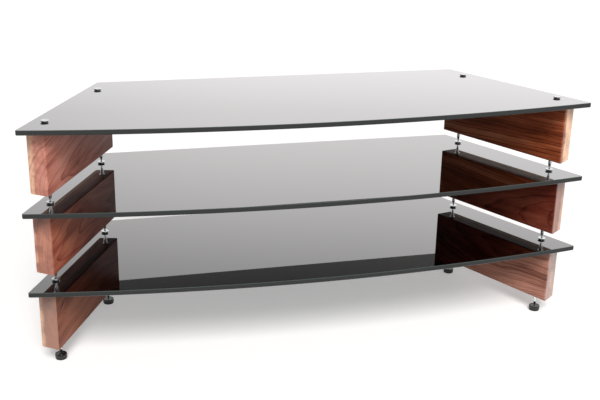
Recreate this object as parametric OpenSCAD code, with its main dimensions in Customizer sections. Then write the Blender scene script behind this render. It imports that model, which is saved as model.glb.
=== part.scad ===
// Corner TV stand: three tiers, each a bowed glass shelf on two solid wood blocks.
// Each tier stands on four steel spikes, in dished caps on the tier below or in feet on the floor.
// X runs to the right, Y to the back and Z up. The origin is on the floor, in the middle of the plan.

/* [Shelves] */
// Overall width of a shelf, at its front corners
shelf_w = 1200; // [1000:10:1500]
// Depth of a shelf at its sides, from the line through the front corners to the rear edge
side_depth = 375; // [360:5:450]
// How far the front edge bows out past the line through the front corners
front_bow = 50; // [30:1:80]
// Angle between a side edge and straight back
side_angle = 25; // [15:1:30]
// Thickness of the glass
glass_t = 10; // [8:0.5:15]
// Radius of the corners in plan
corner_r = 4; // [3:0.5:12]
// Width of the ground arris along the glass edges
arris = 1; // [0.5:0.1:1.5]

/* [Blocks] */
// Height of a block
block_h = 129.5; // [100:0.5:180]
// Thickness of a block
block_t = 43; // [38:1:50]
// Length of a block along its middle
block_len = 339; // [300:1:365]
// Distance from the side edge of the glass to the outer face of the block
block_inset = 1.5; // [0.5:0.5:5]
// Distance along the side edge from the front corner of the glass to the front end of the block
block_setback = 39; // [30:1:45]
// Turn of both ends of the block from square, which leaves its inner face the longer one
end_cut = 12; // [0:1:20]
// Radius on the long edges and the upright edges of the block
block_edge_r = 3; // [1:0.5:5]

/* [Spikes] */
// Distance along the middle of a block from each of its ends to a spike
spike_end = 33; // [20:1:60]
// Distance from the outer face of a block to the line of its spikes
spike_side = 27.5; // [18:0.5:29]
// Overall length of a spike
spike_len = 46; // [44:1:52]
// Diameter of the threaded shank of a spike
spike_d = 8; // [6:1:8]
// Length of the cone of a spike
cone_len = 13; // [10:1:16]
// Radius of the tip of a spike
tip_r = 0.8; // [0.5:0.1:1]
// Clear height between the underside of a block and the shelf below
tier_gap = 27.5; // [26:0.5:32]
// Clear height between the lowest blocks and the floor
floor_gap = 39; // [37:0.5:44]
// Depth of free hole that lets a spike screw further in
screw_in = 11; // [10:0.5:14]

/* [Caps] */
// Diameter of a cap at its rim
cap_d = 17; // [16:0.5:20]
// Diameter of a cap at its foot, on the glass
cap_foot_d = 13.5; // [12:0.5:15]
// Height of a cap
cap_h = 3.5; // [3:0.1:5]
// Height of the straight rim of a cap
cap_rim = 1; // [0.8:0.1:1.5]
// Diameter of the countersink in the top of a cap
dish_d = 7; // [5:0.5:9]
// Depth of that countersink
dish_depth = 1.2; // [0.8:0.1:1.5]
// Diameter of the threaded stud under a cap
stud_d = 6; // [5:1:6]
// Depth that the stud reaches into the block
stud_grip = 12; // [10:0.5:16]

/* [Bushes and inserts] */
// Wall thickness of the bush in a glass hole
bush_wall = 1; // [0.8:0.1:1.5]
// Thickness of the flange of the bush, between the cap and the glass
bush_flange_t = 0.5; // [0.4:0.1:1]
// Width of that flange round the barrel of the bush
bush_flange_w = 2; // [1:0.1:2]
// Wall thickness of the threaded inserts in the wood
insert_wall = 1.8; // [1.5:0.1:2.5]
// Length of an insert for a stud
cap_insert_len = 12; // [10:0.5:16]
// Length of an insert for a spike, without its flange
spike_insert_len = 16; // [14:0.5:20]
// Diameter of the flange on an insert for a spike
insert_flange_d = 13.5; // [13:0.5:16]
// Thickness of that flange
insert_flange_t = 1.2; // [0.8:0.1:2]

/* [Feet] */
// Diameter of a foot
foot_d = 25; // [22:0.5:32]
// Height of the hard upper part of a foot
foot_h = 8.5; // [7:0.5:12]
// Width of the raised rim round the top of a foot
foot_rim = 1.8; // [1.5:0.1:3]
// Depth of the top of a foot below that rim
foot_recess = 0.6; // [0.4:0.1:1]
// Radius on the top edge of a foot
foot_edge_r = 1.2; // [0.8:0.1:1.4]
// Depth of the countersink that holds the tip of the spike
foot_dimple = 1.6; // [1:0.1:2]
// Thickness of the rubber pad under a foot
pad_t = 2.5; // [1.5:0.5:4]
// How far the pad stands back from the side of the foot
pad_inset = 0.8; // [0.4:0.1:2]

/* [Fits] */
// Radial clearance of a spike in its insert
run_gap = 0.05; // [0.02:0.01:0.1]
// Radial clearance round a piece that is fixed in a hole
fixed_gap = 0.05; // [0.02:0.01:0.1]
// Clearance under the tip of a spike
tip_gap = 0.2; // [0.1:0.05:0.3]
// Depth left free past the end of a stud or an insert
end_gap = 1; // [0.5:0.5:2]

/* [Hidden] */

$fn = 64;
bow_fn = 720;
over = 1;
ease = 0.02;
BOTTOM = 0;
MIDDLE = 1;
TOP = 2;
LEFT = 1;
RIGHT = 0;
FRONT = 0;
REAR = 1;
SMOKED = [0.09, 0.10, 0.10, 0.92];
WALNUT = [0.45, 0.27, 0.20];
CHROME = [0.80, 0.82, 0.84];
NYLON = [0.90, 0.90, 0.86];
ZINC = [0.74, 0.73, 0.66];
BLACK = [0.08, 0.08, 0.08];
RUBBER = [0.14, 0.14, 0.14];

// Plan of a shelf: the bowed front is an arc through the two front corners
half_w = shelf_w / 2;
chord_y = (front_bow - side_depth) / 2;
rear_y = chord_y + side_depth;
bow_r = (half_w * half_w + front_bow * front_bow) / (2 * front_bow);
bow_centre = [0, chord_y - front_bow + bow_r];

// The round front corner touches the bow, the overall width and the side edge
corner_from_bow = bow_r - corner_r;
front_centre = [half_w - corner_r, bow_centre[1] - sqrt(pow(corner_from_bow, 2) - pow(half_w - corner_r, 2))];
bow_turn = atan2(front_centre[1] - bow_centre[1], front_centre[0]);

// Where the side edge, drawn on, meets the line through the front corners
corner_x = front_centre[0] + corner_r * cos(side_angle)
    + (front_centre[1] + corner_r * sin(side_angle) - chord_y) * tan(side_angle);
rear_centre = [
    corner_x - (side_depth - corner_r) * tan(side_angle) - corner_r / cos(side_angle),
    rear_y - corner_r
];

// Heights, for tier 0 at the bottom to tier 2 at the top
tier_h = block_h + glass_t + tier_gap;
function block_z(tier) = floor_gap + tier * tier_h;
function glass_z(tier) = block_z(tier) + block_h;
function shelf_z(tier) = glass_z(tier) + glass_t;
function seat_z(tier) = tier == BOTTOM ? pad_t + foot_h - foot_recess - foot_dimple
                                       : shelf_z(tier - 1) + bush_flange_t + cap_h - dish_depth;
function tip_z(tier) = seat_z(tier) + tip_gap;

// Radii of the hardware and its holes
stud_r = stud_d / 2;
bush_r = stud_r + fixed_gap + bush_wall;
glass_hole_r = bush_r + fixed_gap;
cap_insert_r = stud_r + fixed_gap + insert_wall;
spike_r = spike_d / 2;
spike_insert_r = spike_r + run_gap + insert_wall;
shank_hole_r = spike_r + 10 * run_gap;
cap_hole_depth = max(stud_grip, cap_insert_len) + end_gap;
shank_hole_depth = tip_z(MIDDLE) + spike_len - block_z(MIDDLE) + screw_in;

// Points of an arc round a centre, from one angle to another
function arc(centre, r, from, to, steps = 6) =
    [for (i = [0:steps]) let (a = from + (to - from) * i / steps) centre + r * [cos(a), sin(a)]];

// Places a child in the frame of one side edge: X runs back along the edge from the front
// corner, Y runs inwards and Z up. The left side is the mirror image of the right.
module along_side(side) {
    mirror([side, 0, 0])
        translate([corner_x, chord_y, 0])
            rotate(90 + side_angle)
                children();
}

// Places a child on the axis of one spike
module at_spike(side, end) {
    along_side(side)
        translate([
            block_setback + (end == FRONT ? spike_end : block_len - spike_end),
            block_inset + spike_side,
            0
        ])
            children();
}

// Places a child on the axis of all four spikes of a tier
module at_spikes() {
    for (side = [RIGHT, LEFT], end = [FRONT, REAR])
        at_spike(side, end)
            children();
}

// Wedge at a corner, between the two directions that its edges face, less the child that stays.
// The child is rounder than r by the ease, so that its surface crosses the two faces.
module corner_waste(centre, r, from, to, h) {
    reach = 2 * r;
    half = (to - from) / 2;
    translate(centre)
        difference() {
            translate([0, 0, -over])
                linear_extrude(h + 2 * over)
                    polygon([
                        [0, 0],
                        reach * [cos(from), sin(from)],
                        reach / cos(half) * [cos(from + half), sin(from + half)],
                        reach * [cos(to), sin(to)]
                    ]);
            children();
        }
}

// Section through a ground glass edge, with the glass towards +X
module ground_edge(depth) {
    polygon([
        [0, arris], [arris, 0], [depth, 0],
        [depth, glass_t], [arris, glass_t], [0, glass_t - arris]
    ]);
}

// Round plate with a ground rim
module ground_disc(r) {
    rotate_extrude()
        polygon([
            [0, 0], [r - arris, 0], [r, arris],
            [r, glass_t - arris], [r - arris, glass_t], [0, glass_t]
        ]);
}

// Cone about the bow's centre that grinds the lower arris of the front edge
module bow_arris() {
    translate([0, 0, -over])
        cylinder(
            r1 = bow_r - arris - over,
            r2 = bow_r - arris + glass_t + over,
            h = glass_t + 2 * over,
            $fn = bow_fn
        );
}

// Large plate with one straight ground edge along X, and the glass towards +Y
module ground_plate() {
    far = 2 * shelf_w;
    translate([-far, 0, 0])
        rotate([90, 0, 90])
            linear_extrude(2 * far)
                ground_edge(far);
}

// Plate inside all four edges of a shelf, with sharp corners
module sharp_shelf() {
    intersection() {
        along_side(RIGHT) ground_plate();
        along_side(LEFT) ground_plate();
        translate([0, rear_y, 0]) mirror([0, 1, 0]) ground_plate();
        translate(bow_centre) cylinder(r = bow_r, h = glass_t, $fn = bow_fn);
        translate(bow_centre) bow_arris();
        translate(bow_centre) translate([0, 0, glass_t]) mirror([0, 0, 1]) bow_arris();
    }
}

module glass(tier) {
    color(SMOKED)
        translate([0, 0, glass_z(tier)])
            difference() {
                sharp_shelf();
                for (side = [RIGHT, LEFT]) mirror([side, 0, 0]) {
                    corner_waste(front_centre, corner_r, bow_turn, side_angle, glass_t)
                        ground_disc(corner_r + ease);
                    corner_waste(rear_centre, corner_r, side_angle, 90, glass_t)
                        ground_disc(corner_r + ease);
                }
                at_spikes()
                    translate([0, 0, -over])
                        cylinder(r = glass_hole_r, h = glass_t + 2 * over);
            }
}

// Rectangle with round corners, from the origin towards +X and +Y
module round_rect(w, h, r) {
    translate([r, 0]) square([w - 2 * r, h]);
    translate([0, r]) square([w, h - 2 * r]);
    for (x = [r, w - r], y = [r, h - r])
        translate([x, y]) circle(r);
}

// Block before its holes are drilled: X along its length and Y inwards, from the middle of its
// underside. Its two ends are alike, so the same block serves on either side.
module plain_block() {
    r = block_edge_r;
    half_t = block_t / 2;
    long = block_len + block_t;
    function end_x(y) = block_len / 2 + y * tan(end_cut);
    function corner(y) = [end_x(y) - r / cos(end_cut), y];
    difference() {
        translate([-long / 2, -half_t, 0])
            rotate([90, 0, 90])
                linear_extrude(long)
                    round_rect(block_t, block_h, r);
        for (end = [FRONT, REAR]) mirror([end, 0, 0]) {
            translate([end_x(0), 0, -over])
                rotate(-end_cut)
                    translate([0, -block_t, 0])
                        cube([long, 2 * block_t, block_h + 2 * over]);
            corner_waste(corner(r - half_t), r, -90, -end_cut, block_h) block_corner();
            corner_waste(corner(half_t - r), r, -end_cut, 90, block_h) block_corner();
        }
    }
}

// Upright edge of a block
module block_corner() {
    translate([0, 0, -2 * over])
        cylinder(r = block_edge_r + ease, h = block_h + 4 * over);
}

// Solid block under one side of a shelf, with its holes for the inserts
module block(tier, side) {
    color(WALNUT)
        translate([0, 0, block_z(tier)])
            difference() {
                along_side(side)
                    translate([block_setback + block_len / 2, block_inset + block_t / 2, 0])
                        plain_block();
                for (end = [FRONT, REAR]) at_spike(side, end) {
                    translate([0, 0, block_h - cap_hole_depth])
                        cylinder(r = cap_insert_r + fixed_gap, h = cap_hole_depth + over);
                    translate([0, 0, -over])
                        cylinder(r = spike_insert_r + fixed_gap, h = spike_insert_len + end_gap + over);
                    cylinder(r = shank_hole_r, h = shank_hole_depth);
                }
            }
}

// Dished cap with its threaded stud
module cap(tier) {
    r = cap_d / 2;
    edge = cap_rim / 2;
    foot_r = cap_foot_d / 2;
    stud_len = bush_flange_t + glass_t + stud_grip;
    translate([0, 0, shelf_z(tier) + bush_flange_t])
        rotate_extrude()
            polygon(concat(
                [[0, -stud_len], [stud_r - edge, -stud_len], [stud_r, edge - stud_len], [stud_r, 0]],
                [[foot_r, 0], [r, cap_h - cap_rim]],
                arc([r - edge, cap_h - edge], edge, 0, 90),
                [[dish_d / 2, cap_h], [tip_r / 2, cap_h - dish_depth], [0, cap_h - dish_depth]]
            ));
}

// Flanged bush that lines a hole in the glass
module bush(tier) {
    bore_r = stud_r + fixed_gap;
    barrel = glass_t - bush_flange_t;
    translate([0, 0, shelf_z(tier)])
        rotate_extrude()
            polygon([
                [bore_r, -barrel], [bush_r, -barrel], [bush_r, 0],
                [bush_r + bush_flange_w, 0], [bush_r + bush_flange_w, bush_flange_t], [bore_r, bush_flange_t]
            ]);
}

// Threaded insert for the stud of a cap, flush with the top of the block
module cap_insert(tier) {
    translate([0, 0, glass_z(tier) - cap_insert_len])
        difference() {
            cylinder(r = cap_insert_r, h = cap_insert_len);
            translate([0, 0, -over])
                cylinder(r = stud_r + fixed_gap, h = cap_insert_len + 2 * over);
        }
}

// Flanged threaded insert for a spike, up in the underside of the block
module spike_insert(tier) {
    translate([0, 0, block_z(tier)])
        difference() {
            union() {
                translate([0, 0, -insert_flange_t])
                    cylinder(d = insert_flange_d, h = insert_flange_t);
                cylinder(r = spike_insert_r, h = spike_insert_len);
            }
            translate([0, 0, -insert_flange_t - over])
                cylinder(r = spike_r + run_gap, h = insert_flange_t + spike_insert_len + 2 * over);
        }
}

// Spike with its tip in the seat below it
module spike(tier) {
    slope = atan2(spike_r - tip_r, cone_len);
    edge = spike_r / 4;
    color(CHROME)
        translate([0, 0, tip_z(tier)])
            rotate_extrude()
                polygon(concat(
                    [[0, 0]],
                    arc([0, tip_r], tip_r, -75, -slope),
                    [[spike_r, cone_len], [spike_r, spike_len - edge], [spike_r - edge, spike_len], [0, spike_len]]
                ));
}

// Hard upper part of a foot
module foot() {
    r = foot_d / 2;
    floor_r = r - foot_rim;
    top = foot_h - foot_recess;
    bevel = foot_edge_r / 2;
    color(BLACK)
        translate([0, 0, pad_t])
            rotate_extrude()
                polygon(concat(
                    [[0, 0], [r - bevel, 0], [r, bevel]],
                    arc([r - foot_edge_r, foot_h - foot_edge_r], foot_edge_r, 0, 90),
                    [[floor_r, foot_h - foot_recess / 2], [floor_r - foot_recess / 2, top]],
                    [[tip_r / 2 + foot_dimple, top], [tip_r / 2, top - foot_dimple], [0, top - foot_dimple]]
                ));
}

// Rubber pad under a foot
module foot_pad() {
    r = foot_d / 2 - pad_inset;
    edge = pad_t / 4;
    color(RUBBER)
        rotate_extrude()
            polygon(concat(
                [[0, 0]],
                arc([r - edge, edge], edge, -90, 0),
                [[r, pad_t], [0, pad_t]]
            ));
}

module caps(tier) { color(CHROME) at_spikes() cap(tier); }
module bushes(tier) { color(NYLON) at_spikes() bush(tier); }
module cap_inserts(tier) { color(ZINC) at_spikes() cap_insert(tier); }
module spike_inserts(tier) { color(ZINC) at_spikes() spike_insert(tier); }

glass(BOTTOM);  // glass_bottom
glass(MIDDLE);  // glass_middle
glass(TOP);  // glass_top
block(BOTTOM, LEFT);  // block_bottom_left
block(BOTTOM, RIGHT);  // block_bottom_right
block(MIDDLE, LEFT);  // block_middle_left
block(MIDDLE, RIGHT);  // block_middle_right
block(TOP, LEFT);  // block_top_left
block(TOP, RIGHT);  // block_top_right
caps(BOTTOM);  // caps_bottom
caps(MIDDLE);  // caps_middle
caps(TOP);  // caps_top
bushes(BOTTOM);  // bushes_bottom
bushes(MIDDLE);  // bushes_middle
bushes(TOP);  // bushes_top
cap_inserts(BOTTOM);  // cap_inserts_bottom
cap_inserts(MIDDLE);  // cap_inserts_middle
cap_inserts(TOP);  // cap_inserts_top
spike_inserts(BOTTOM);  // spike_inserts_bottom
spike_inserts(MIDDLE);  // spike_inserts_middle
spike_inserts(TOP);  // spike_inserts_top
at_spike(LEFT, FRONT) spike(BOTTOM);  // spike_bottom_front_left
at_spike(RIGHT, FRONT) spike(BOTTOM);  // spike_bottom_front_right
at_spike(LEFT, REAR) spike(BOTTOM);  // spike_bottom_rear_left
at_spike(RIGHT, REAR) spike(BOTTOM);  // spike_bottom_rear_right
at_spike(LEFT, FRONT) spike(MIDDLE);  // spike_middle_front_left
at_spike(RIGHT, FRONT) spike(MIDDLE);  // spike_middle_front_right
at_spike(LEFT, REAR) spike(MIDDLE);  // spike_middle_rear_left
at_spike(RIGHT, REAR) spike(MIDDLE);  // spike_middle_rear_right
at_spike(LEFT, FRONT) spike(TOP);  // spike_top_front_left
at_spike(RIGHT, FRONT) spike(TOP);  // spike_top_front_right
at_spike(LEFT, REAR) spike(TOP);  // spike_top_rear_left
at_spike(RIGHT, REAR) spike(TOP);  // spike_top_rear_right
at_spike(LEFT, FRONT) foot();  // foot_front_left
at_spike(RIGHT, FRONT) foot();  // foot_front_right
at_spike(LEFT, REAR) foot();  // foot_rear_left
at_spike(RIGHT, REAR) foot();  // foot_rear_right
at_spike(LEFT, FRONT) foot_pad();  // foot_pad_front_left
at_spike(RIGHT, FRONT) foot_pad();  // foot_pad_front_right
at_spike(LEFT, REAR) foot_pad();  // foot_pad_rear_left
at_spike(RIGHT, REAR) foot_pad();  // foot_pad_rear_right
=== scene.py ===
import math

import bmesh
import bpy
from mathutils import Matrix, Vector


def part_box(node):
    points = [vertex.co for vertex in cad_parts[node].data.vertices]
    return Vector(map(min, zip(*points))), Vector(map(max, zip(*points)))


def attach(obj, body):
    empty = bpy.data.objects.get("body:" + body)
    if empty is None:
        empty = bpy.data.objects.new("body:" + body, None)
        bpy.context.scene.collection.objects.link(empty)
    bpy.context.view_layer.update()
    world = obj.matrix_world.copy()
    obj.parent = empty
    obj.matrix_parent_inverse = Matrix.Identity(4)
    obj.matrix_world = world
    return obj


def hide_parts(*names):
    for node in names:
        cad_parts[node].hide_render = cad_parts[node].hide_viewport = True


bl_info = {
    "name": "Corner TV stand",
    "version": (1, 0, 0),
    "blender": (4, 5, 0),
    "location": "View3D > Sidebar > TV stand",
    "description": "Dresses the corner TV stand: black glass, walnut, chromed spikes and black feet",
    "category": "Object",
}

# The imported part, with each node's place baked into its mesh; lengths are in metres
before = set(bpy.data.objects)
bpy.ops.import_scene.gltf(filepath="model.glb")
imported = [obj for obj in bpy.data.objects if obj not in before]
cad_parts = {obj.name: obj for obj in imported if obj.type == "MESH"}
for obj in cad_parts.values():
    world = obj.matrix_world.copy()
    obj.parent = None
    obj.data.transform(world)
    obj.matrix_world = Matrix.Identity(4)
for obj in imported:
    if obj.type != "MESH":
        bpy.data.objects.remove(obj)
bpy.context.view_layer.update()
MM = 0.001

# The floor's side, and how far it lies under the pads, so that no face of it meets theirs
FLOOR_SIZE = 30.0
FLOOR_DROP = 0.2 * MM

# Names of the part's nodes, by tier and by corner
TIERS = ("bottom", "middle", "top")
CORNERS = ("front_left", "front_right", "rear_left", "rear_right")

# Spikes as they are packed: the size of one, from its node
SPIKE_LOW, SPIKE_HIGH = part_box("spike_top_front_left")
SPIKE_D = SPIKE_HIGH.x - SPIKE_LOW.x
SPIKE_LEN = SPIKE_HIGH.z - SPIKE_LOW.z

# Shape of a spike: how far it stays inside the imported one, the radius of its blunt point, the plain
# neck between cone and thread, the depth of the thread in pitches, the steps round the cone and
# round each turn of the thread, and the angle from which an edge is sharp
INSIDE = 0.01 * MM
POINT_R = 0.8 * MM
NECK = 1.2 * MM
THREAD_DEPTH = 0.61
CONE_STEPS = 48
THREAD_STEPS = 24
SHARP_FROM = math.radians(28)

# Rounding of the caps' turned edges, and the least angle of an edge that gets it
CAP_ROUNDING = 0.5 * MM
CAP_EDGE_ANGLE = math.radians(35)

# How far each side edge turns from straight back, which way the blocks run, and how thick they are
SIDE_ANGLE = math.radians(25)
HEADING = {"left": math.pi / 2 - SIDE_ANGLE, "right": math.pi / 2 + SIDE_ANGLE}
BLOCK_T = 43 * MM

# How each block was sawn from its board, with X along the block, Y across it and Z up it:
# - pith: where the pith of the tree runs (Y, Z), in metres
# - lean: how the tree leans up and across, in degrees
# - ring, wander: spacing of the rings, and how far the grain wanders, in millimetres
# - sap: how far in the sapwood reaches from the outer face, in metres, and how pale it is
# - end: how far the sawn ends are mixed towards a painted sheen, and its colour: the lacquer's
#   reflection of the bright floor, painted in
# - seed: a number that sets the pattern
# - dark, mid, light: the colours of the heartwood
CUTS = {
    "block_top_left": {
        "pith": (-0.085, -0.03), "lean": (-9, 3), "ring": 9.0, "wander": 8,
        "sap": (0.014, 0.7), "end": (0.15, "#D9B5A2"), "seed": 3.1,
        "dark": "#7F4437", "mid": "#B46D5C", "light": "#CA8C7B"},
    "block_middle_left": {
        "pith": (-0.12, 0.0), "lean": (-9, 3), "ring": 7.0, "wander": 11,
        "sap": (0.006, 0.5), "end": (0.19, "#D9B5A2"), "seed": 11.7,
        "dark": "#612B1C", "mid": "#904A37", "light": "#AF6E54"},
    "block_bottom_left": {
        "pith": (-0.11, 0.03), "lean": (-10, 2), "ring": 6.5, "wander": 12,
        "sap": (0.010, 0.6), "end": (0.28, "#D9B5A2"), "seed": 23.4,
        "dark": "#4D2619", "mid": "#7A432F", "light": "#8F5841"},
    "block_top_right": {
        "pith": (0.08, 0.12), "lean": (4, 3), "ring": 7.0, "wander": 8,
        "sap": (0.034, 0.95), "end": (0.12, "#D9B5A2"), "seed": 37.9,
        "dark": "#5A2613", "mid": "#9A4F31", "light": "#C47C5A"},
    "block_middle_right": {
        "pith": (0.10, -0.05), "lean": (7, 6), "ring": 8.0, "wander": 9,
        "sap": (0.016, 0.5), "end": (0.27, "#D9B5A2"), "seed": 41.3,
        "dark": "#39110B", "mid": "#64291D", "light": "#804232"},
    "block_bottom_right": {
        "pith": (0.12, 0.10), "lean": (4, -3), "ring": 6.0, "wander": 13,
        "sap": (0.024, 0.25), "end": (0.40, "#858786"), "seed": 58.6,
        "dark": "#734537", "mid": "#AC7663", "light": "#C79382"},
}


def linear(code):
    """A colour written as sRGB hex, as the linear numbers that Blender works in."""
    channels = [int(code[i:i + 2], 16) / 255 for i in (1, 3, 5)]
    return tuple(c / 12.92 if c <= 0.04045 else ((c + 0.055) / 1.055) ** 2.4 for c in channels)


def opaque(colour):
    """The same colour with full alpha, for a colour socket."""
    return (*tuple(colour)[:3], 1.0)


def add(tree, kind, inputs=None, stops=None, **settings):
    """Adds a node with its settings, its socket values or links, and a ramp's stops."""
    made = tree.nodes.new(kind)
    for name, value in settings.items():
        setattr(made, name, value)
    for socket, value in (inputs or {}).items():
        if isinstance(value, bpy.types.NodeSocket):
            tree.links.new(value, made.inputs[socket])
        else:
            made.inputs[socket].default_value = value
    if stops:
        ramp = made.color_ramp
        ramp.elements[0].position, ramp.elements[0].color = stops[0]
        ramp.elements[1].position, ramp.elements[1].color = stops[-1]
        for position, colour in stops[1:-1]:
            ramp.elements.new(position).color = colour
    return made


def new_material(name):
    """The node material of this name, emptied if it is there already, and its tree."""
    made = bpy.data.materials.get(name) or bpy.data.materials.new(name)
    made.use_nodes = True
    made.node_tree.nodes.clear()
    return made, made.node_tree


def show(tree, shader):
    """Sends the shader to the material's surface."""
    add(tree, "ShaderNodeOutputMaterial", {"Surface": shader.outputs["BSDF"]})


def dress(node, material):
    """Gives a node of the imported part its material."""
    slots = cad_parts[node].data.materials
    slots.clear()
    slots.append(material)


def grey(value):
    """A grey from 0 for black to 1 for white, for a colour socket or a ramp's stop."""
    return (value, value, value, 1.0)


# Sizes and colours that a user would change

class GlassLook(bpy.types.PropertyGroup):
    """The shelves' glass."""

    edge: bpy.props.FloatVectorProperty(
        name="Edge colour", description="Colour of the polished edge", subtype="COLOR",
        size=3, min=0, max=1, default=linear("#131716"))
    arris: bpy.props.FloatVectorProperty(
        name="Arris colour", description="Colour of the ground arris along the edges",
        subtype="COLOR", size=3, min=0, max=1, default=linear("#3A4541"))
    tint: bpy.props.FloatVectorProperty(
        name="Mirror tint", description="Faint warmth of what the faces mirror", subtype="COLOR",
        size=3, min=0, max=1, default=linear("#FFFCFC"))
    sheen: bpy.props.FloatProperty(
        name="Grazing reflection", description="Reflection of the faces at a low angle of view",
        subtype="FACTOR", min=0, max=0.6, default=0.465)


class WalnutLook(bpy.types.PropertyGroup):
    """The solid walnut of the blocks."""

    sapwood: bpy.props.FloatVectorProperty(
        name="Sapwood", description="Colour of the pale outer wood", subtype="COLOR",
        size=3, min=0, max=1, default=linear("#E0BB9A"))
    figure: bpy.props.FloatProperty(
        name="Figure", description="Strength of the dark lines of the rings",
        min=0, max=2, default=1.1)
    lacquer: bpy.props.FloatProperty(
        name="Lacquer", description="Gloss of the satin lacquer", subtype="FACTOR",
        min=0, max=1, default=0.2)


class MetalLook(bpy.types.PropertyGroup):
    """The chromed caps and spikes, and the plated inserts."""

    chrome: bpy.props.FloatVectorProperty(
        name="Chrome", description="Colour of the chrome plating", subtype="COLOR",
        size=3, min=0, max=1, default=linear("#EAEDEF"))
    zinc: bpy.props.FloatVectorProperty(
        name="Zinc", description="Colour of the zinc plating on the inserts", subtype="COLOR",
        size=3, min=0, max=1, default=linear("#BDBBB0"))
    pitch: bpy.props.FloatProperty(
        name="Thread pitch", description="Distance between two turns of a spike's thread",
        subtype="DISTANCE", unit="LENGTH", min=0.0005, max=0.003, default=0.00125)
    cone: bpy.props.FloatProperty(
        name="Cone length", description="Length of a spike's cone, as in the packed part",
        subtype="DISTANCE", unit="LENGTH", min=0.005, max=0.03, default=0.013)


class FootLook(bpy.types.PropertyGroup):
    """The feet and their pads."""

    shell: bpy.props.FloatVectorProperty(
        name="Foot", description="Colour of the hard part of a foot", subtype="COLOR",
        size=3, min=0, max=1, default=linear("#1B1817"))
    pad: bpy.props.FloatVectorProperty(
        name="Pad", description="Colour of the rubber pad", subtype="COLOR",
        size=3, min=0, max=1, default=linear("#262423"))


class StageLook(bpy.types.PropertyGroup):
    """The floor and the light."""

    floor: bpy.props.FloatVectorProperty(
        name="Floor", description="Colour of the floor", subtype="COLOR",
        size=3, min=0, max=1, default=linear("#F2F0EF"))
    lift: bpy.props.FloatProperty(
        name="Floor lift", description="White added to the floor as the camera sees it",
        min=0, max=1, default=0.33)
    room: bpy.props.FloatProperty(
        name="Room light", description="Strength of the light from all round",
        min=0, max=1, default=0.13)
    studio: bpy.props.FloatProperty(
        name="Studio in mirrors", description="Brightness that metal and glass mirror from in front",
        min=0, max=1, default=0.8)
    high_lamp: bpy.props.FloatProperty(
        name="High soft box", description="Strength of the soft box high in front",
        min=0, max=20, default=2.5)
    low_lamp: bpy.props.FloatProperty(
        name="Low soft box", description="Strength of the soft box low in front",
        min=0, max=20, default=0.9)


# Materials

def black_glass(look):
    """Toughened float glass, tinted through until it is black, its edges polished, its arris ground.
    It shows no body colour: the eye sees the room in it, stronger the lower it looks."""
    material, tree = new_material("black_tinted_glass")
    facing = add(tree, "ShaderNodeLayerWeight", {"Blend": 0.5})
    # From straight on to grazing, as one minus the cosine, and how much is mirrored. The upper faces
    # mirror a backdrop brighter than white, so they mirror white more than bare glass does.
    shares = {
        0.0: 0.04, 0.36: 0.05, 0.50: 0.10, 0.60: look.sheen * 0.52, 0.70: look.sheen,
        0.75: look.sheen * 1.22, 0.79: look.sheen * 1.6}
    mirror = add(tree, "ShaderNodeValToRGB", {"Fac": facing.outputs["Facing"]}, stops=[
        (angle, opaque([c * share for c in look.tint])) for angle, share in shares.items()])
    normal = add(tree, "ShaderNodeNewGeometry")
    upright = add(tree, "ShaderNodeSeparateXYZ", {"Vector": normal.outputs["Normal"]})
    is_face = add(tree, "ShaderNodeMapRange", {
        "Value": upright.outputs["Z"], "From Min": 0.97, "From Max": 0.99})
    slope = add(tree, "ShaderNodeMath", {0: upright.outputs["Z"]}, operation="ABSOLUTE")
    # The arris slopes at 45 degrees, between the upright edge and the level faces
    is_arris = add(tree, "ShaderNodeValToRGB", {"Fac": slope.outputs["Value"]}, stops=[
        (0.30, grey(0.0)), (0.45, grey(1.0)), (0.85, grey(1.0)), (0.97, grey(0.0))])
    rim = add(tree, "ShaderNodeMix", {
        0: is_arris.outputs["Color"], 6: opaque(look.edge), 7: opaque(look.arris)}, data_type="RGBA")
    colour = add(tree, "ShaderNodeMix", {
        0: is_face.outputs["Result"], 6: rim.outputs[2], 7: mirror.outputs["Color"]},
        data_type="RGBA")
    roughness = add(tree, "ShaderNodeMapRange", {
        "Value": is_arris.outputs["Color"], "To Min": 0.015, "To Max": 0.3})
    glass = add(tree, "ShaderNodeBsdfPrincipled", {
        "Base Color": colour.outputs[2], "Metallic": is_face.outputs["Result"],
        "Roughness": roughness.outputs["Result"]})
    show(tree, glass)
    return material


def stretched_noise(tree, place, scale, detail, shift=0.0):
    """Noise drawn out along the grain: its scale is in features per metre along, across and up."""
    mapped = add(tree, "ShaderNodeMapping", {
        "Vector": place, "Location": (shift, shift, shift), "Scale": scale})
    return add(tree, "ShaderNodeTexNoise", {
        "Vector": mapped.outputs["Vector"], "Scale": 1.0, "Detail": detail, "Roughness": 0.55})


def weigh(tree, value, weight, rest):
    """The rest, with the value added at a weight."""
    made = add(tree, "ShaderNodeMath", {0: value, 1: weight, 2: rest}, operation="MULTIPLY_ADD")
    return made.outputs["Value"]


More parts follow.
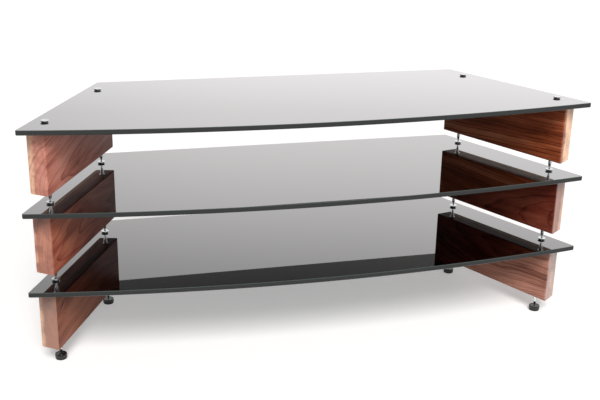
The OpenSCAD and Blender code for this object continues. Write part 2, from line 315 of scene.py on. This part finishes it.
def grain_axes(tree, name, heading, cut):
    """A block's own axes, and those of the trunk that it was sawn from, as vectors."""
    low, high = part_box(name)
    place = add(tree, "ShaderNodeTexCoord")
    block = add(tree, "ShaderNodeMapping", {
        "Vector": place.outputs["Object"], "Location": (low + high) / 2,
        "Rotation": (0, 0, heading)}, vector_type="TEXTURE")
    lean_up, lean_across = (math.radians(angle) for angle in cut["lean"])
    trunk = add(tree, "ShaderNodeMapping", {
        "Vector": block.outputs["Vector"], "Location": (0, *cut["pith"]),
        "Rotation": (0, lean_up, lean_across)}, vector_type="TEXTURE")
    # The trunk isn't straight: its grain wanders over about a hand's width
    sway = stretched_noise(tree, trunk.outputs["Vector"], (4, 14, 14), 2.0, cut["seed"])
    centred = add(tree, "ShaderNodeVectorMath", {
        0: sway.outputs["Color"], 1: (0.5, 0.5, 0.5)}, operation="SUBTRACT")
    grown = add(tree, "ShaderNodeVectorMath", {
        0: centred.outputs["Vector"], 1: (cut["wander"] * 2 * MM,) * 3, 2: trunk.outputs["Vector"]},
        operation="MULTIPLY_ADD")
    return block.outputs["Vector"], grown.outputs["Vector"]


def rings(tree, along, cut):
    """The rings of growth: each is even early wood that ends in a dark line of late wood."""
    across = add(tree, "ShaderNodeVectorMath", {0: along, 1: (0, 1, 1)}, operation="MULTIPLY")
    radius = add(tree, "ShaderNodeVectorMath", {0: across.outputs["Vector"]}, operation="LENGTH")
    # Good and lean years come in spells of about two rings, and shift them: no two rings are alike
    years = add(tree, "ShaderNodeTexNoise", {
        "W": radius.outputs["Value"], "Scale": 1 / (cut["ring"] * 2.2 * MM), "Detail": 3.0,
        "Roughness": 0.65}, noise_dimensions="1D")
    count = weigh(tree, radius.outputs["Value"], 1 / (cut["ring"] * MM), cut["seed"])
    count = weigh(tree, years.outputs["Fac"], 2.4, count)
    season = add(tree, "ShaderNodeMath", {0: count}, operation="FRACT")
    ring = add(tree, "ShaderNodeValToRGB", {"Fac": season.outputs["Value"]}, stops=[
        (0.0, grey(0.58)), (0.5, grey(0.56)), (0.78, grey(0.42)), (0.93, grey(0.18)),
        (1.0, grey(0.58))])
    return ring.outputs["Color"]


def sap_share(tree, block, band, heading, sap):
    """How much of the wood is sapwood: it lies on the face away from the middle of the stand."""
    depth, pale = sap
    outward = 1 if heading < math.pi / 2 else -1
    edge = BLOCK_T / 2 - depth
    local = add(tree, "ShaderNodeSeparateXYZ", {"Vector": block})
    ragged = weigh(tree, local.outputs["Y"], outward, weigh(tree, band, 0.02, -0.01))
    share = add(tree, "ShaderNodeMapRange", {
        "Value": ragged, "From Min": edge, "From Max": edge + 0.010, "To Max": pale},
        interpolation_type="SMOOTHSTEP")
    return share.outputs["Result"]


def sawn_end(tree, heading):
    """1 on the two sawn ends of a block, and 0 on its long faces."""
    normal = add(tree, "ShaderNodeNewGeometry")
    square = add(tree, "ShaderNodeVectorMath", {
        0: normal.outputs["Normal"], 1: (math.cos(heading), math.sin(heading), 0)},
        operation="DOT_PRODUCT")
    facing = add(tree, "ShaderNodeMath", {0: square.outputs["Value"]}, operation="ABSOLUTE")
    made = add(tree, "ShaderNodeMapRange", {
        "Value": facing.outputs["Value"], "From Min": 0.75, "From Max": 0.95})
    return made.outputs["Result"]


def walnut(name, cut, look):
    """Solid walnut, planed, sanded and satin lacquered.
    The eye sees brown rings that run out along the faces, fine dark pores and a soft sheen."""
    heading = HEADING[name.rsplit("_", 1)[1]]
    material, tree = new_material("walnut_" + name)
    block, along = grain_axes(tree, name, heading, cut)
    # Broad bands of colour 30 mm across, streaks of 8 mm, fibres of 1 mm and pores drawn at 1.2 mm
    band = stretched_noise(tree, along, (4, 32, 32), 2.0, cut["seed"] * 2)
    streak = stretched_noise(tree, along, (6, 130, 130), 3.0, cut["seed"])
    fibre = stretched_noise(tree, along, (25, 1000, 1000), 3.0)
    pores = stretched_noise(tree, along, (90, 830, 830), 1.0)
    # Each layer's brightness lies round 0.5, and so does that of their weighted sum
    layers = (
        (rings(tree, along, cut), look.figure), (band.outputs["Fac"], 1.5),
        (streak.outputs["Fac"], 0.6), (fibre.outputs["Fac"], 0.4))
    figure = 0.5 - 0.5 * sum(weight for _, weight in layers)
    for brightness, weight in layers:
        figure = weigh(tree, brightness, weight, figure)
    dark, mid, light = (opaque(linear(cut[tone])) for tone in ("dark", "mid", "light"))
    heart = add(tree, "ShaderNodeValToRGB", {"Fac": figure}, stops=[
        (0.12, dark), (0.5, mid), (0.88, light)])
    pale = add(tree, "ShaderNodeValToRGB", {"Fac": figure}, stops=[
        (0.15, opaque([c * 0.68 for c in look.sapwood])), (0.5, opaque(look.sapwood)),
        (0.85, opaque([c * 1.16 for c in look.sapwood]))])
    wood = add(tree, "ShaderNodeMix", {
        0: sap_share(tree, block, band.outputs["Fac"], heading, cut["sap"]),
        6: heart.outputs["Color"], 7: pale.outputs["Color"]}, data_type="RGBA")
    pore = add(tree, "ShaderNodeMapRange", {
        "Value": pores.outputs["Fac"], "From Min": 0.60, "From Max": 0.75, "To Max": 0.35})
    pored = add(tree, "ShaderNodeMix", {
        0: pore.outputs["Result"], 6: wood.outputs[2], 7: dark}, data_type="RGBA")
    # The sawn ends take more lacquer, so they shine more. Their pale tone is a painted sheen: the
    # lacquer's reflection of the bright floor, mixed into the wood's colour
    share, tone = cut["end"]
    end = sawn_end(tree, heading)
    colour_with_painted_sheen = add(tree, "ShaderNodeMix", {
        0: weigh(tree, end, share, 0.0), 6: pored.outputs[2], 7: opaque(linear(tone))},
        data_type="RGBA")
    coat = add(tree, "ShaderNodeMapRange", {
        "Value": end, "To Min": look.lacquer, "To Max": look.lacquer + 2 * share})
    relief = add(tree, "ShaderNodeBump", {
        "Strength": 0.15, "Distance": 0.2 * MM, "Height": fibre.outputs["Fac"]})
    roughness = add(tree, "ShaderNodeMapRange", {
        "Value": fibre.outputs["Fac"], "To Min": 0.42, "To Max": 0.6})
    timber = add(tree, "ShaderNodeBsdfPrincipled", {
        "Base Color": colour_with_painted_sheen.outputs[2], "Roughness": roughness.outputs["Result"],
        "Specular IOR Level": 0.05, "Diffuse Roughness": 1.0, "Coat Weight": coat.outputs["Result"],
        "Coat Roughness": 0.28, "Normal": relief.outputs["Normal"]})
    show(tree, timber)
    return material


def chrome(look):
    """Bright chrome plating over turned steel: near white, and sharp enough to mirror the shelves."""
    material, tree = new_material("chrome_plating")
    place = add(tree, "ShaderNodeTexCoord")
    # Fine turning marks run round the axis, 0.4 mm apart
    marks = add(tree, "ShaderNodeMapping", {
        "Vector": place.outputs["Object"], "Scale": (60, 60, 2500)})
    swirl = add(tree, "ShaderNodeTexNoise", {
        "Vector": marks.outputs["Vector"], "Scale": 1.0, "Detail": 2.0})
    roughness = add(tree, "ShaderNodeMapRange", {
        "Value": swirl.outputs["Fac"], "To Min": 0.10, "To Max": 0.26})
    metal = add(tree, "ShaderNodeBsdfPrincipled", {
        "Base Color": opaque(look.chrome), "Metallic": 1.0, "Roughness": roughness.outputs["Result"]})
    show(tree, metal)
    return material


def zinc(look):
    """Bright zinc plating on turned inserts: softer and warmer than chrome, with a faint bloom."""
    material, tree = new_material("zinc_plating")
    place = add(tree, "ShaderNodeTexCoord")
    bloom = add(tree, "ShaderNodeTexNoise", {
        "Vector": place.outputs["Object"], "Scale": 400.0, "Detail": 3.0})
    colour = add(tree, "ShaderNodeValToRGB", {"Fac": bloom.outputs["Fac"]}, stops=[
        (0.3, opaque([c * 0.85 for c in look.zinc])), (0.7, opaque(look.zinc))])
    roughness = add(tree, "ShaderNodeMapRange", {
        "Value": bloom.outputs["Fac"], "To Min": 0.2, "To Max": 0.38})
    metal = add(tree, "ShaderNodeBsdfPrincipled", {
        "Base Color": colour.outputs["Color"], "Metallic": 1.0,
        "Roughness": roughness.outputs["Result"]})
    show(tree, metal)
    return material


def nylon():
    """Natural nylon, turned: milky white and a little waxy."""
    material, tree = new_material("natural_nylon")
    place = add(tree, "ShaderNodeTexCoord")
    cloud = add(tree, "ShaderNodeTexNoise", {
        "Vector": place.outputs["Object"], "Scale": 300.0, "Detail": 2.0})
    colour = add(tree, "ShaderNodeValToRGB", {"Fac": cloud.outputs["Fac"]}, stops=[
        (0.3, opaque(linear("#DEDDD4"))), (0.7, opaque(linear("#EBEAE2")))])
    plastic = add(tree, "ShaderNodeBsdfPrincipled", {
        "Base Color": colour.outputs["Color"], "Roughness": 0.4, "IOR": 1.53,
        "Subsurface Weight": 0.15, "Subsurface Scale": 1 * MM})
    show(tree, plastic)
    return material


def gloss_black(look):
    """Moulded black plastic with a polished face: it mirrors the spike that stands on it."""
    material, tree = new_material("gloss_black_plastic")
    place = add(tree, "ShaderNodeTexCoord")
    flow = add(tree, "ShaderNodeTexNoise", {
        "Vector": place.outputs["Object"], "Scale": 250.0, "Detail": 2.0})
    roughness = add(tree, "ShaderNodeMapRange", {
        "Value": flow.outputs["Fac"], "To Min": 0.10, "To Max": 0.22})
    colour = add(tree, "ShaderNodeValToRGB", {"Fac": flow.outputs["Fac"]}, stops=[
        (0.3, opaque([c * 0.8 for c in look.shell])), (0.7, opaque(look.shell))])
    plastic = add(tree, "ShaderNodeBsdfPrincipled", {
        "Base Color": colour.outputs["Color"], "Roughness": roughness.outputs["Result"], "IOR": 1.54})
    show(tree, plastic)
    return material


def rubber(look):
    """Moulded black rubber: dull, with a fine speckle of dust."""
    material, tree = new_material("black_rubber")
    place = add(tree, "ShaderNodeTexCoord")
    speckle = add(tree, "ShaderNodeTexNoise", {
        "Vector": place.outputs["Object"], "Scale": 1800.0, "Detail": 2.0, "Roughness": 0.7})
    colour = add(tree, "ShaderNodeValToRGB", {"Fac": speckle.outputs["Fac"]}, stops=[
        (0.35, opaque([c * 0.7 for c in look.pad])), (0.65, opaque(look.pad))])
    relief = add(tree, "ShaderNodeBump", {
        "Strength": 0.3, "Distance": 0.1 * MM, "Height": speckle.outputs["Fac"]})
    moulded = add(tree, "ShaderNodeBsdfPrincipled", {
        "Base Color": colour.outputs["Color"], "Roughness": 0.75, "IOR": 1.52,
        "Normal": relief.outputs["Normal"]})
    show(tree, moulded)
    return material


# Spikes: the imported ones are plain, and the real ones have a thread

def spun_shell(mesh, points):
    """A closed shell: (radius, height) points that start and end on the Z axis, turned round it."""
    made = [mesh.verts.new((radius, 0, height)) for radius, height in points]
    edges = [mesh.edges.new(pair) for pair in zip(made, made[1:])]
    bmesh.ops.spin(mesh, geom=made + edges, cent=(0, 0, 0), axis=(0, 0, 1), dvec=(0, 0, 0),
                   angle=2 * math.pi, steps=CONE_STEPS, use_merge=True)


def thread_shell(mesh, pitch, low, high):
    """The threaded shank: one pitch of its profile, turned up a helix, then cut at low and high."""
    crest = SPIKE_D / 2 - INSIDE
    root = crest - THREAD_DEPTH * pitch
    turns = math.ceil((high - low) / pitch) + 2
    profile = [(root, 0.0), (root, 0.2), (crest, 0.53), (crest, 0.67), (root, 1.0)]
    made = [mesh.verts.new((radius, 0, low + (part - 1) * pitch)) for radius, part in profile]
    edges = [mesh.edges.new(pair) for pair in zip(made, made[1:])]
    bmesh.ops.spin(mesh, geom=made + edges, cent=(0, 0, 0), axis=(0, 0, 1),
                   dvec=(0, 0, pitch / THREAD_STEPS), angle=2 * math.pi * turns,
                   steps=THREAD_STEPS * turns, use_merge=False)
    bmesh.ops.remove_doubles(mesh, verts=mesh.verts, dist=0.005 * MM)
    for height, outward in ((low, -1), (high, 1)):
        bmesh.ops.bisect_plane(
            mesh, geom=mesh.verts[:] + mesh.edges[:] + mesh.faces[:], dist=1e-7,
            plane_co=(0, 0, height), plane_no=(0, 0, outward), clear_outer=True)
        level = [e for e in mesh.edges
                 if e.is_boundary and all(abs(v.co.z - height) < 0.001 * MM for v in e.verts)]
        bmesh.ops.edgeloop_fill(mesh, edges=level)


def spike_mesh(look):
    """One spike with its tip at the origin: a cone with a blunt point, and a threaded shank."""
    cone = look.cone
    shank = SPIKE_D / 2
    threaded = bmesh.new()
    thread_shell(threaded, look.pitch, cone + NECK * 0.4, SPIKE_LEN - NECK * 0.5)
    bmesh.ops.recalc_face_normals(threaded, faces=threaded.faces)
    # The blunt point, the cone with an eased edge, and the neck up into the thread
    pointed = bmesh.new()
    spun_shell(pointed, [
        (0, 0), (POINT_R * 0.35, 0.1 * MM), (POINT_R * 0.8, 0.55 * MM), (POINT_R * 1.12, 1.6 * MM),
        (shank - 0.35 * MM, cone - 0.5 * MM), (shank - INSIDE, cone + 0.1 * MM),
        (shank - INSIDE, cone + NECK * 0.4), (0, cone + NECK)])
    bmesh.ops.remove_doubles(pointed, verts=pointed.verts, dist=0.002 * MM)
    bmesh.ops.recalc_face_normals(pointed, faces=pointed.faces)
    mesh = bpy.data.meshes.new("spike")
    threaded.to_mesh(mesh)
    threaded.free()
    pointed.from_mesh(mesh)
    pointed.to_mesh(mesh)
    pointed.free()
    for polygon in mesh.polygons:
        polygon.use_smooth = True
    mesh.set_sharp_from_angle(angle=SHARP_FROM)
    return mesh


# Operators: one for each group of pieces, and one for the stage

class DressShelves(bpy.types.Operator):
    """Gives the three shelves their black glass"""

    bl_idname = "tv_stand.shelves"
    bl_label = "Glass shelves"

    def execute(self, context):
        material = black_glass(context.scene.tv_glass)
        for tier in TIERS:
            dress(f"glass_{tier}", material)
        return {"FINISHED"}


class DressBlocks(bpy.types.Operator):
    """Gives each walnut block its own figure"""

    bl_idname = "tv_stand.blocks"
    bl_label = "Walnut blocks"

    def execute(self, context):
        for name, cut in CUTS.items():
            dress(name, walnut(name, cut, context.scene.tv_walnut))
        return {"FINISHED"}


class DressHardware(bpy.types.Operator):
    """Gives the caps, bushes and inserts their finishes"""

    bl_idname = "tv_stand.hardware"
    bl_label = "Caps, bushes and inserts"

    def execute(self, context):
        look = context.scene.tv_metal
        cap, insert, bush = chrome(look), zinc(look), nylon()
        for tier in TIERS:
            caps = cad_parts[f"caps_{tier}"]
            rounding = caps.modifiers.new("turned_edges", "BEVEL")
            rounding.affect = "EDGES"
            rounding.width = CAP_ROUNDING
            rounding.segments = 3
            rounding.profile = 0.5
            rounding.material = -1
            rounding.limit_method = "ANGLE"
            rounding.angle_limit = CAP_EDGE_ANGLE
            dress(f"caps_{tier}", cap)
            dress(f"bushes_{tier}", bush)
            dress(f"cap_inserts_{tier}", insert)
            dress(f"spike_inserts_{tier}", insert)
        return {"FINISHED"}


class MakeSpikes(bpy.types.Operator):
    """Makes the twelve threaded spikes in place of the plain ones"""

    bl_idname = "tv_stand.spikes"
    bl_label = "Threaded spikes"

    def execute(self, context):
        look = context.scene.tv_metal
        material = chrome(look)
        pattern = spike_mesh(look)
        pattern.materials.append(material)
        for tier in TIERS:
            for corner in CORNERS:
                node = f"spike_{tier}_{corner}"
                low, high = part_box(node)
                middle = (low + high) / 2
                mesh = pattern.copy()
                mesh.transform(Matrix.Translation((middle.x, middle.y, low.z)))
                piece = bpy.data.objects.new(f"threaded_{node}", mesh)
                context.scene.collection.objects.link(piece)
                dress(node, material)
                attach(piece, node)
                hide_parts(node)
        bpy.data.meshes.remove(pattern)
        return {"FINISHED"}


class DressFeet(bpy.types.Operator):
    """Gives the feet and their pads their finishes"""

    bl_idname = "tv_stand.feet"
    bl_label = "Feet and pads"

    def execute(self, context):
        look = context.scene.tv_foot
        shell, pad = gloss_black(look), rubber(look)
        for corner in CORNERS:
            dress(f"foot_{corner}", shell)
            dress(f"foot_pad_{corner}", pad)
        return {"FINISHED"}


class MakeStage(bpy.types.Operator):
    """Makes the white floor, the soft light and the camera"""

    bl_idname = "tv_stand.stage"
    bl_label = "Floor, light and camera"

    def execute(self, context):
        scene = context.scene
        look = scene.tv_stage
        self.make_floor(scene, look)
        self.make_room(scene, look)
        self.make_lamp(scene, "high_soft_box", look.high_lamp, width=26, height=47, turn=-10)
        self.make_lamp(scene, "low_soft_box", look.low_lamp, width=36, height=25, turn=3)
        self.make_camera(scene)
        scene.view_settings.view_transform = "Standard"
        return {"FINISHED"}

    def make_floor(self, scene, look):
        """Matt white paper without a seam: the eye sees only the stand's soft shadow on it."""
        shape = bmesh.new()
        bmesh.ops.create_grid(shape, x_segments=4, y_segments=4, size=FLOOR_SIZE / 2)
        bmesh.ops.translate(shape, verts=shape.verts, vec=(0, 0, -FLOOR_DROP))
        mesh = bpy.data.meshes.new("floor")
        shape.to_mesh(mesh)
        shape.free()
        floor = bpy.data.objects.new("floor", mesh)
        scene.collection.objects.link(floor)
        material, tree = new_material("white_paper_floor")
        matt = add(tree, "ShaderNodeBsdfDiffuse", {"Color": opaque(look.floor)})
        # The camera, and what mirrors the floor for it, see it lifted to white, with the shadow kept
        lift = add(tree, "ShaderNodeMath", {0: self.seen(tree), 1: look.lift}, operation="MULTIPLY")
        glow = add(tree, "ShaderNodeEmission", {"Color": grey(1), "Strength": lift.outputs["Value"]})
        both = add(tree, "ShaderNodeAddShader", {
            0: matt.outputs["BSDF"], 1: glow.outputs["Emission"]})
        add(tree, "ShaderNodeOutputMaterial", {"Surface": both.outputs["Shader"]})
        mesh.materials.append(material)

    def mirrored(self, tree):
        """1 for a ray that the camera sees in a mirror, without a matt surface between."""
        ray = add(tree, "ShaderNodeLightPath")
        direct = add(tree, "ShaderNodeMath", {
            0: ray.outputs["Diffuse Depth"], 1: 0.5}, operation="LESS_THAN")
        made = add(tree, "ShaderNodeMath", {
            0: ray.outputs["Is Glossy Ray"], 1: direct.outputs["Value"]}, operation="MULTIPLY")
        return made.outputs["Value"]

    def straight(self, tree):
        """1 for a ray straight from the camera, or through glass."""
        ray = add(tree, "ShaderNodeLightPath")
        made = add(tree, "ShaderNodeMath", {
            0: ray.outputs["Is Camera Ray"], 1: ray.outputs["Is Transmission Ray"]},
            operation="ADD", use_clamp=True)
        return made.outputs["Value"]

    def seen(self, tree):
        """1 for every ray by which the camera sees a thing, and 0 for a ray that only lights it."""
        made = add(tree, "ShaderNodeMath", {
            0: self.mirrored(tree), 1: self.straight(tree)}, operation="ADD", use_clamp=True)
        return made.outputs["Value"]

    def make_room(self, scene, look):
        """White all round to the camera. What mirrors it sees the backdrop fade to a dimmer studio in
        front and to the left, and most of the light from all round comes from the right."""
        room = bpy.data.worlds.new("white_room")
        room.use_nodes = True
        tree = room.node_tree
        tree.nodes.clear()
        place = add(tree, "ShaderNodeTexCoord")
        toward = add(tree, "ShaderNodeSeparateXYZ", {"Vector": place.outputs["Generated"]})
        backdrop = add(tree, "ShaderNodeMapRange", {
            "Value": toward.outputs["Y"], "From Min": -0.25, "From Max": 0.45,
            "To Min": look.studio}, interpolation_type="SMOOTHSTEP")
        left = add(tree, "ShaderNodeMapRange", {
            "Value": toward.outputs["X"], "From Min": -0.6, "From Max": 0.25,
            "To Min": 0.3}, interpolation_type="SMOOTHSTEP")
        level = add(tree, "ShaderNodeMath", {
            0: backdrop.outputs["Result"], 1: left.outputs["Result"]}, operation="MULTIPLY")
        # The ceiling is as white as the backdrop
        above = add(tree, "ShaderNodeMapRange", {
            "Value": toward.outputs["Z"], "From Min": 0.45, "From Max": 0.75},
            interpolation_type="SMOOTHSTEP")
        studio = add(tree, "ShaderNodeMath", {
            0: level.outputs["Value"], 1: above.outputs["Result"]}, operation="MAXIMUM")
        fill = add(tree, "ShaderNodeMapRange", {
            "Value": toward.outputs["X"], "From Min": -0.6, "From Max": 0.6,
            "To Min": look.room * 0.05, "To Max": look.room * 1.95})
        indirect = add(tree, "ShaderNodeMix", {
            0: self.mirrored(tree), 2: fill.outputs["Result"], 3: studio.outputs["Value"]},
            data_type="FLOAT")
        strength = add(tree, "ShaderNodeMix", {
            0: self.straight(tree), 2: indirect.outputs[0], 3: 1.0}, data_type="FLOAT")
        white = add(tree, "ShaderNodeBackground", {
            "Color": grey(1), "Strength": strength.outputs[0]})
        add(tree, "ShaderNodeOutputWorld", {"Surface": white.outputs["Background"]})
        scene.world = room

    def make_lamp(self, scene, name, strength, width, height, turn):
        """A soft box so far off that it lights the whole stand alike. Its width is the angle that it
        fills, and it stands at an angle of height above the floor and of turn to the right."""
        lamp = bpy.data.lights.new(name, "SUN")
        lamp.energy = strength
        lamp.angle = math.radians(width)
        holder = bpy.data.objects.new(name, lamp)
        # The glass would mirror a lamp as a white disc, which hides the shelves from behind and above
        holder.visible_glossy = False
        height, turn = math.radians(height), math.radians(turn)
        direction = Vector((
            -math.sin(turn) * math.cos(height), math.cos(turn) * math.cos(height), -math.sin(height)))
        holder.rotation_euler = direction.to_track_quat("-Z", "Y").to_euler()
        scene.collection.objects.link(holder)

    def make_camera(self, scene):
        """The camera that the photograph was taken with, as the corners of the shelves give it, in
        metres and radians: turned to the right, dipped below level and rolled."""
        place = Vector((-0.53608, -2.01168, 1.02158))
        turn, dip, roll = 0.2585, -0.3443, 0.0199
        ahead = Vector((
            math.sin(turn) * math.cos(dip), math.cos(turn) * math.cos(dip), math.sin(dip)))
        level = Vector((math.cos(turn), -math.sin(turn), 0))
        over = level.cross(ahead)
        right = math.cos(roll) * level + math.sin(roll) * over
        up = math.cos(roll) * over - math.sin(roll) * level
        lens = bpy.data.cameras.new("camera")
        lens.sensor_width = 36
        lens.lens = 59.14
        camera = bpy.data.objects.new("camera", lens)
        camera.matrix_world = Matrix((
            (right.x, up.x, -ahead.x, place.x),
            (right.y, up.y, -ahead.y, place.y),
            (right.z, up.z, -ahead.z, place.z),
            (0, 0, 0, 1)))
        scene.collection.objects.link(camera)
        scene.camera = camera


class StandPanel(bpy.types.Panel):
    """Lists the steps that dress the stand, with the sizes and colours that they use"""

    bl_idname = "VIEW3D_PT_tv_stand"
    bl_label = "Corner TV stand"
    bl_space_type = "VIEW_3D"
    bl_region_type = "UI"
    bl_category = "TV stand"

    def draw(self, context):
        for operator, group in STEPS:
            self.layout.operator(operator.bl_idname)
            look = getattr(context.scene, group)
            for name in look.__annotations__:
                self.layout.prop(look, name)


LOOKS = {
    "tv_glass": GlassLook,
    "tv_walnut": WalnutLook,
    "tv_metal": MetalLook,
    "tv_foot": FootLook,
    "tv_stage": StageLook,
}
STEPS = (
    (DressShelves, "tv_glass"),
    (DressBlocks, "tv_walnut"),
    (DressHardware, "tv_metal"),
    (MakeSpikes, "tv_metal"),
    (DressFeet, "tv_foot"),
    (MakeStage, "tv_stage"),
)


def register():
    for name, look in LOOKS.items():
        bpy.utils.register_class(look)
        setattr(bpy.types.Scene, name, bpy.props.PointerProperty(type=look))
    for operator, _ in STEPS:
        bpy.utils.register_class(operator)
    bpy.utils.register_class(StandPanel)


def unregister():
    bpy.utils.unregister_class(StandPanel)
    for operator, _ in reversed(STEPS):
        bpy.utils.unregister_class(operator)
    for name, look in reversed(LOOKS.items()):
        delattr(bpy.types.Scene, name)
        bpy.utils.unregister_class(look)


def main():
    """Dresses the stand step by step."""
    register()
    for operator, _ in STEPS:
        group, name = operator.bl_idname.split(".")
        getattr(getattr(bpy.ops, group), name)()


if __name__ == "__main__":
    main()
